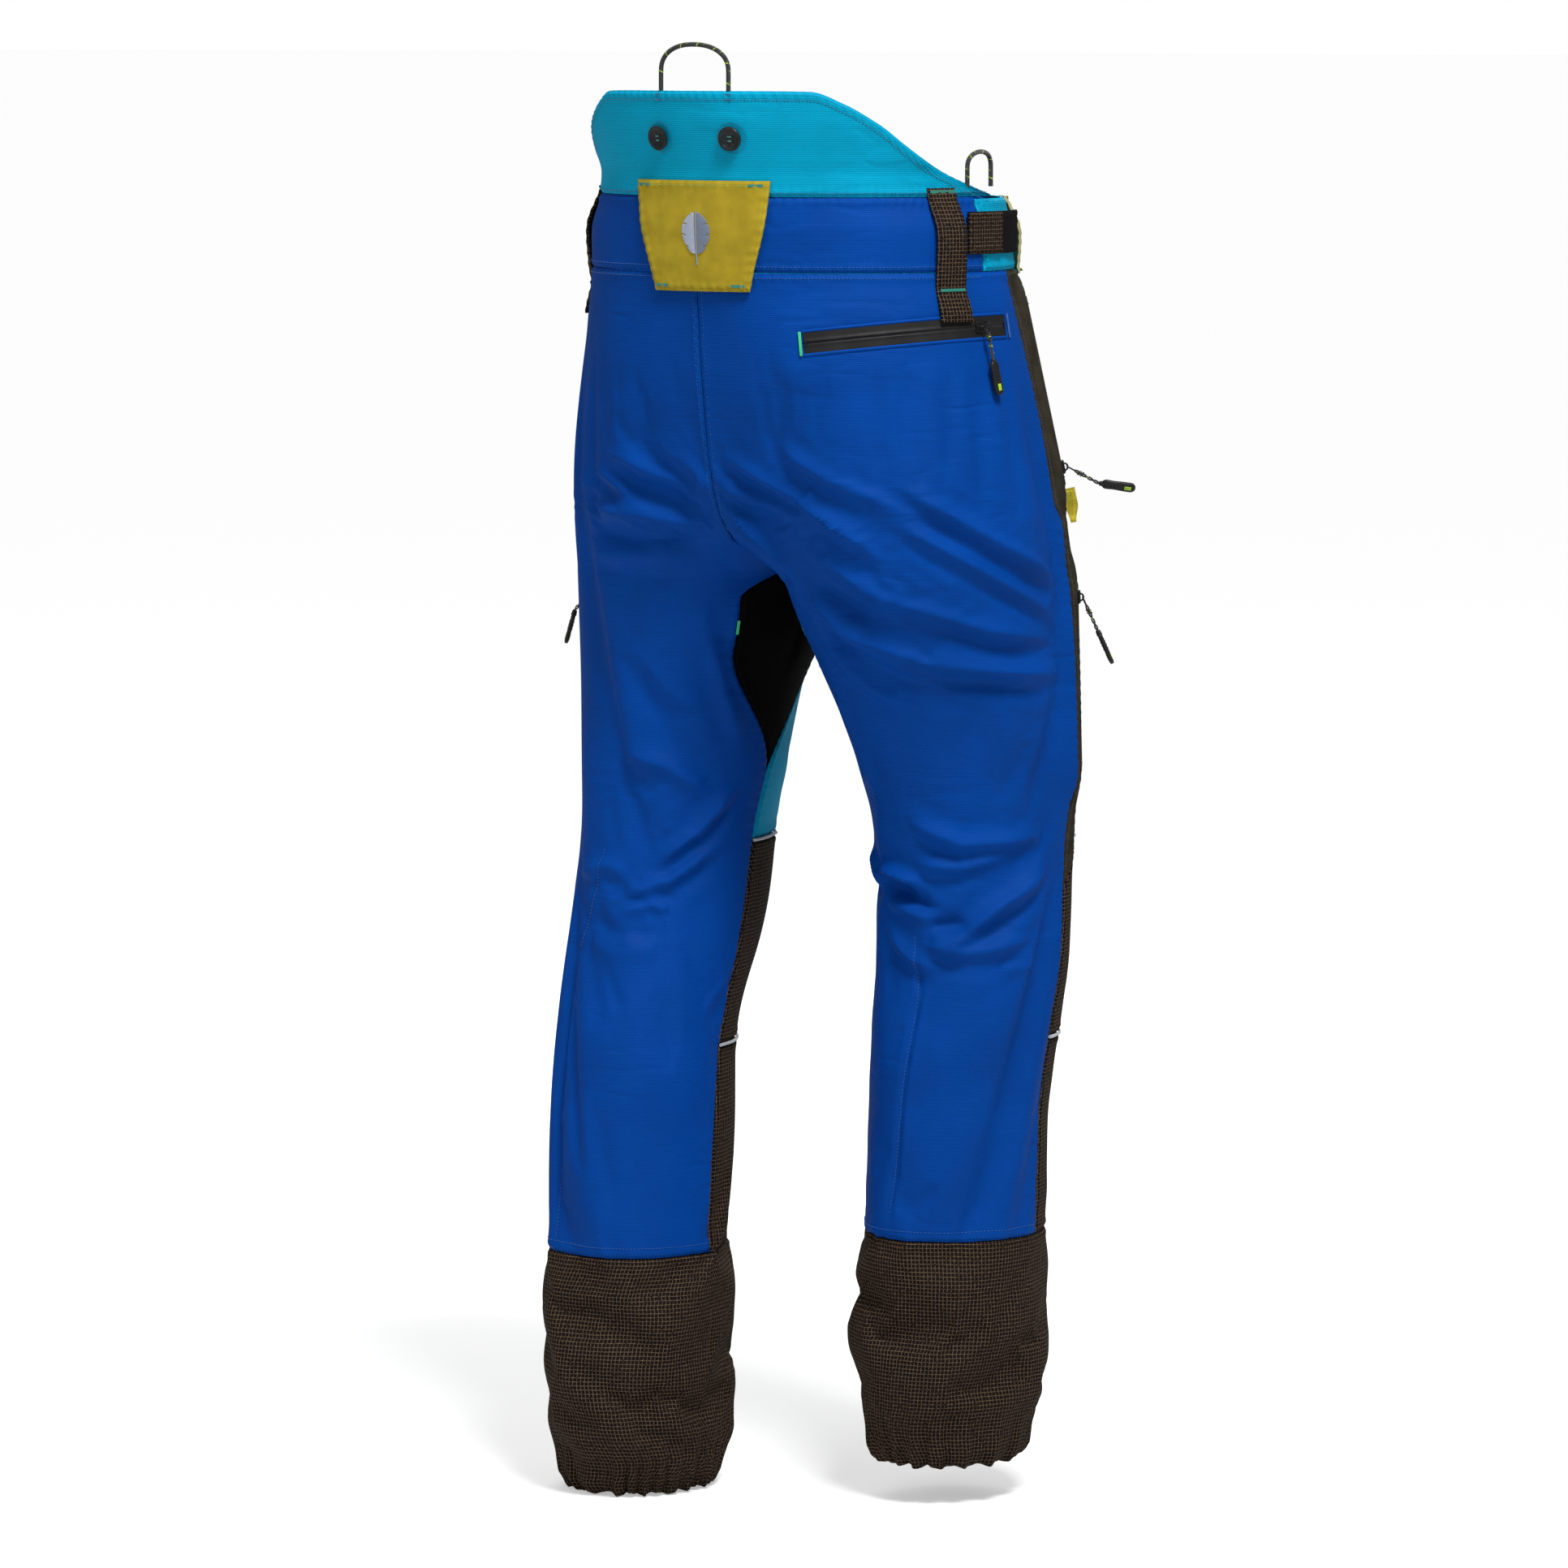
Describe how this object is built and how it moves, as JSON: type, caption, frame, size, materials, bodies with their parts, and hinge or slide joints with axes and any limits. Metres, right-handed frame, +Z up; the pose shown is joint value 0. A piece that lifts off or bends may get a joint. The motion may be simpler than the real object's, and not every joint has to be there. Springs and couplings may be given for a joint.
{
  "type": "chainsaw protection trousers",
  "caption": "Padded forestry trousers with a raised back, belt loops, zipped pockets, stretch side panels and gathered hems, shaped as worn with one leg forward.",
  "frame": {"origin": "on the floor under the middle of the waist: the centre of the underside of the bounding box", "axes": "+Z up; the wearer faces -Y; +X is the wearer's left"},
  "size_m": [0.472, 0.32, 1.1889],
  "materials": {
    "blue_ripstop": "matt, fine horizontal rib",
    "cyan_ripstop": "matt, fine horizontal rib",
    "olive_stretch": "matt stretch knit",
    "black_stretch": "matt stretch knit",
    "check_ripstop": "coarse weave with a fine tan grid",
    "elastic": "woven elastic",
    "silver_piping": "reflective",
    "guard_fibre": "long loose fibres between sheets",
    "lining": "smooth mesh lining",
    "mustard_canvas": "plain weave",
    "cream_webbing": "woven webbing",
    "hook_and_loop": "hooked surface",
    "button_black": "satin",
    "cord": "braided, with lime flecks",
    "zip_tape": "rubberised, satin",
    "slider_metal": "black, satin",
    "puller_rubber": "moulded, satin",
    "snap_metal": "black, satin"
  },
  "bodies": {
    "seat": {"left_back_panel": "blue_ripstop", "right_back_panel": "blue_ripstop", "back_waistband": "blue_ripstop", "left_front_panel": "cyan_ripstop", "right_front_panel": "cyan_ripstop", "front_waistband": "cyan_ripstop", "raised_back": "cyan_ripstop", "fly_cover": "cyan_ripstop", "left_side_panel": "olive_stretch", "right_side_panel": "olive_stretch", "left_gusset": "black_stretch", "right_gusset": "black_stretch", "side_belt_loops": "check_ripstop", "leg_linings": "lining", "rear_pocket_bag": "lining", "back_belt_patch": "mustard_canvas", "front_belt_loops": "cream_webbing", "adjuster_pads": "hook_and_loop", "back_brace_buttons": "button_black", "front_brace_buttons": "button_black", "rear_pocket_zip": "zip_tape", "hip_pocket_zips": "zip_tape", "fly_zip": "zip_tape", "snap_stud": "snap_metal"},
    "left_thigh": {"left_thigh_guard": "guard_fibre", "left_thigh_zip": "zip_tape", "left_knee_panel": "check_ripstop", "left_knee_piping": "silver_piping"},
    "right_thigh": {"right_thigh_guard": "guard_fibre", "right_thigh_zip": "zip_tape", "right_knee_panel": "check_ripstop", "right_knee_piping": "silver_piping"},
    "left_shin": {"left_shin_panel": "check_ripstop", "left_shin_piping": "silver_piping", "left_shin_guard": "guard_fibre", "left_cuff": "check_ripstop", "left_hem_elastic": "elastic"},
    "right_shin": {"right_shin_panel": "check_ripstop", "right_shin_piping": "silver_piping", "right_shin_guard": "guard_fibre", "right_cuff": "check_ripstop", "right_hem_elastic": "elastic"},
    "left_hip_slider": {"left_hip_zip_slider": "slider_metal"},
    "left_hip_puller": {"left_hip_zip_puller": "puller_rubber"},
    "right_hip_slider": {"right_hip_zip_slider": "slider_metal"},
    "right_hip_puller": {"right_hip_zip_puller": "puller_rubber"},
    "left_thigh_slider": {"left_thigh_zip_slider": "slider_metal"},
    "left_thigh_puller": {"left_thigh_zip_puller": "puller_rubber"},
    "right_thigh_slider": {"right_thigh_zip_slider": "slider_metal"},
    "right_thigh_puller": {"right_thigh_zip_puller": "puller_rubber"},
    "rear_slider": {"rear_zip_slider": "slider_metal"},
    "rear_puller": {"rear_zip_puller": "puller_rubber"},
    "fly_slider": {"fly_zip_slider": "slider_metal"},
    "closure": {"closure_tab": "cyan_ripstop", "snap_cap": "snap_metal"},
    "left_adjuster": {"left_adjuster_tab": "check_ripstop"},
    "right_adjuster": {"right_adjuster_tab": "check_ripstop"},
    "hang_loop": {"back_hang_loop": "cord"},
    "left_cord": {"left_cord_loop": "cord"},
    "right_cord": {"right_cord_loop": "cord"}
  },
  "joints": [
    {"name": "left_hip", "type": "hinge", "parent": "seat", "child": "left_thigh", "pos_m": [0.09, -0.014, 0.83], "axis": [-1, 0, 0], "range_deg": [-20, 62], "deforming": ["left_back_panel", "left_front_panel", "left_side_panel", "left_gusset", "left_thigh_guard", "leg_linings", "hip_pocket_zips"]},
    {"name": "left_knee", "type": "hinge", "parent": "left_thigh", "child": "left_shin", "pos_m": [0.129, 0.0155, 0.448], "axis": [1, 0, 0], "range_deg": [0, 100], "deforming": ["left_back_panel", "left_side_panel", "left_knee_panel", "leg_linings"]},
    {"name": "right_hip", "type": "hinge", "parent": "seat", "child": "right_thigh", "pos_m": [-0.09, -0.014, 0.83], "axis": [-1, 0, 0], "range_deg": [-20, 62], "deforming": ["right_back_panel", "right_front_panel", "right_side_panel", "right_gusset", "right_thigh_guard", "leg_linings", "hip_pocket_zips", "rear_pocket_bag"]},
    {"name": "right_knee", "type": "hinge", "parent": "right_thigh", "child": "right_shin", "pos_m": [-0.129, -0.0595, 0.4603], "axis": [1, 0, 0], "range_deg": [0, 100], "deforming": ["right_back_panel", "right_side_panel", "right_knee_panel", "leg_linings"]},
    {"name": "left_hip_zip_slide", "type": "slide", "parent": "seat", "child": "left_hip_slider", "axis": [-0.1724, 0.1163, 0.9781], "range_m": [0, 0.126]},
    {"name": "left_hip_puller_swing", "type": "hinge", "parent": "left_hip_slider", "child": "left_hip_puller", "pos_m": [0.19082, -0.1008, 0.84695], "axis": [-0.5592, -0.829, 0], "range_deg": [-20, 120]},
    {"name": "left_thigh_zip_slide", "type": "slide", "parent": "left_thigh", "child": "left_thigh_slider", "axis": [0.0227, 0, 0.9997], "range_m": [-0.126, 0]},
    {"name": "left_thigh_puller_swing", "type": "hinge", "parent": "left_thigh_slider", "child": "left_thigh_puller", "pos_m": [0.22291, -0.01345, 0.73684], "axis": [0, -1, 0], "range_deg": [-10, 120]},
    {"name": "right_hip_zip_slide", "type": "slide", "parent": "seat", "child": "right_hip_slider", "axis": [0.1724, 0.1163, 0.9781], "range_m": [0, 0.126]},
    {"name": "right_hip_puller_swing", "type": "hinge", "parent": "right_hip_slider", "child": "right_hip_puller", "pos_m": [-0.19082, -0.1008, 0.84695], "axis": [-0.5592, 0.829, 0], "range_deg": [-48, 70]},
    {"name": "right_thigh_zip_slide", "type": "slide", "parent": "right_thigh", "child": "right_thigh_slider", "axis": [0.0227, 0.0131, 0.9997], "range_m": [-0.126, 0]},
    {"name": "right_thigh_puller_swing", "type": "hinge", "parent": "right_thigh_slider", "child": "right_thigh_puller", "pos_m": [-0.20434, -0.10435, 0.74057], "axis": [-0.5, 0.866, 0], "range_deg": [-20, 120]},
    {"name": "rear_zip_slide", "type": "hinge", "parent": "seat", "child": "rear_slider", "pos_m": [-0.038, -0.006, 0.946], "axis": [0.1219, 0, 0.9925], "range_deg": [-53, 0]},
    {"name": "rear_puller_swing", "type": "hinge", "parent": "rear_slider", "child": "rear_puller", "pos_m": [-0.19564, 0.02487, 0.96536], "axis": [0.1894, 0.9816, -0.0233], "range_deg": [0, 50]},
    {"name": "fly_zip_slide", "type": "slide", "parent": "seat", "child": "fly_slider", "axis": [0, 0, 1], "range_m": [-0.07, 0]},
    {"name": "closure_tab_peel", "type": "hinge", "parent": "seat", "child": "closure", "pos_m": [0.042, -0.148, 1.039], "axis": [0, 0, 1], "range_deg": [0, 110]},
    {"name": "left_adjuster_peel", "type": "hinge", "parent": "seat", "child": "left_adjuster", "pos_m": [0.18217, 0.02924, 1.039], "axis": [0, 0, 1], "range_deg": [0, 80]},
    {"name": "right_adjuster_peel", "type": "hinge", "parent": "seat", "child": "right_adjuster", "pos_m": [-0.18217, 0.02924, 1.039], "axis": [0, 0, -1], "range_deg": [0, 80]},
    {"name": "hang_loop_fold", "type": "hinge", "parent": "seat", "child": "hang_loop", "pos_m": [0, 0.152, 1.1552], "axis": [1, 0, 0], "range_deg": [-75, 75]},
    {"name": "left_cord_loop_fold", "type": "hinge", "parent": "seat", "child": "left_cord", "pos_m": [0.1705, -0.001, 1.0827], "axis": [0, 1, 0], "range_deg": [-40, 75]},
    {"name": "right_cord_loop_fold", "type": "hinge", "parent": "seat", "child": "right_cord", "pos_m": [-0.1705, -0.001, 1.0827], "axis": [0, -1, 0], "range_deg": [-40, 75]}
  ]
}
